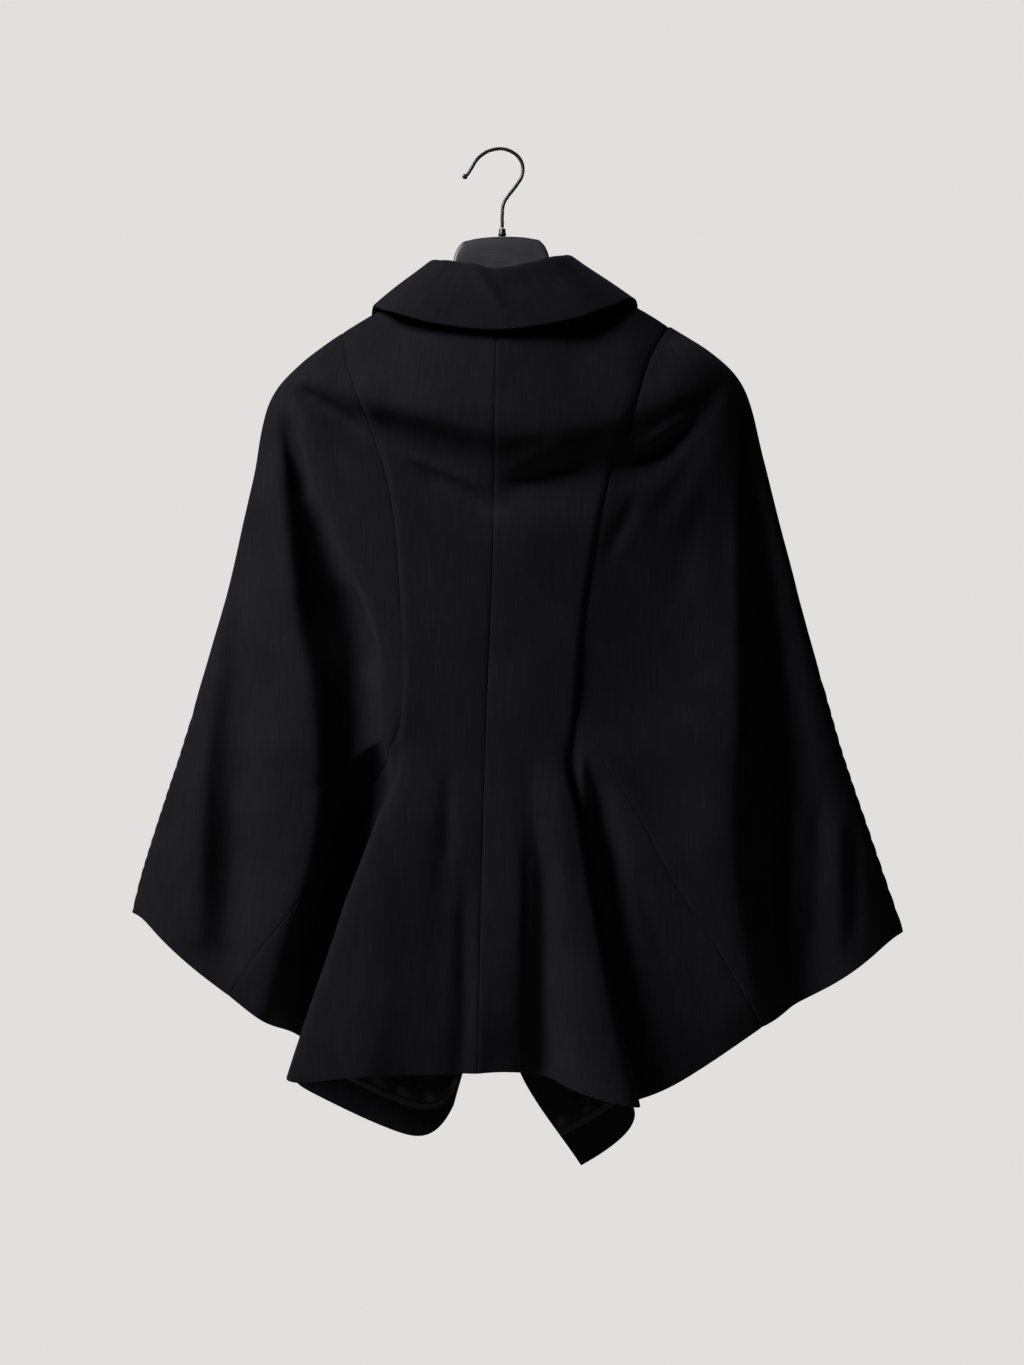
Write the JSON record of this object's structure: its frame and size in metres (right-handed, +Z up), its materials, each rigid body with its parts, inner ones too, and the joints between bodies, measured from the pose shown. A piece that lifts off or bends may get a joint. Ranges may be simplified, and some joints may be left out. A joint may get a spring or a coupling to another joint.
{
  "type": "cape coat on hanger",
  "caption": "Tailored cape coat with fitted waist, fluted back and wide cape wings, hanging on a plain hanger.",
  "frame": {"origin": "inner crown of the hanger's hook, where a rail or hook carries it", "axes": "+Z up, +Y out of the coat's front, +X to the right of someone who looks at the coat's back"},
  "size_m": [0.698, 0.1629, 0.9246],
  "materials": {
    "wool": "matte fine twill",
    "lining": "smooth, slightly shiny",
    "plastic": "fine matte",
    "wire": "satin black coating"
  },
  "bodies": {
    "root": {"back_left": "wool", "back_right": "wool", "side_left": "wool", "side_right": "wool", "cape_left": "wool", "cape_right": "wool", "front_left": "wool", "front_right": "wool", "collar": "wool", "facing_left": "wool", "facing_right": "wool", "lining_left": "lining", "lining_right": "lining", "hanger_body": "plastic", "hanger_ferrule": "wire", "hanger_hook": "wire"}
  },
  "joints": []
}
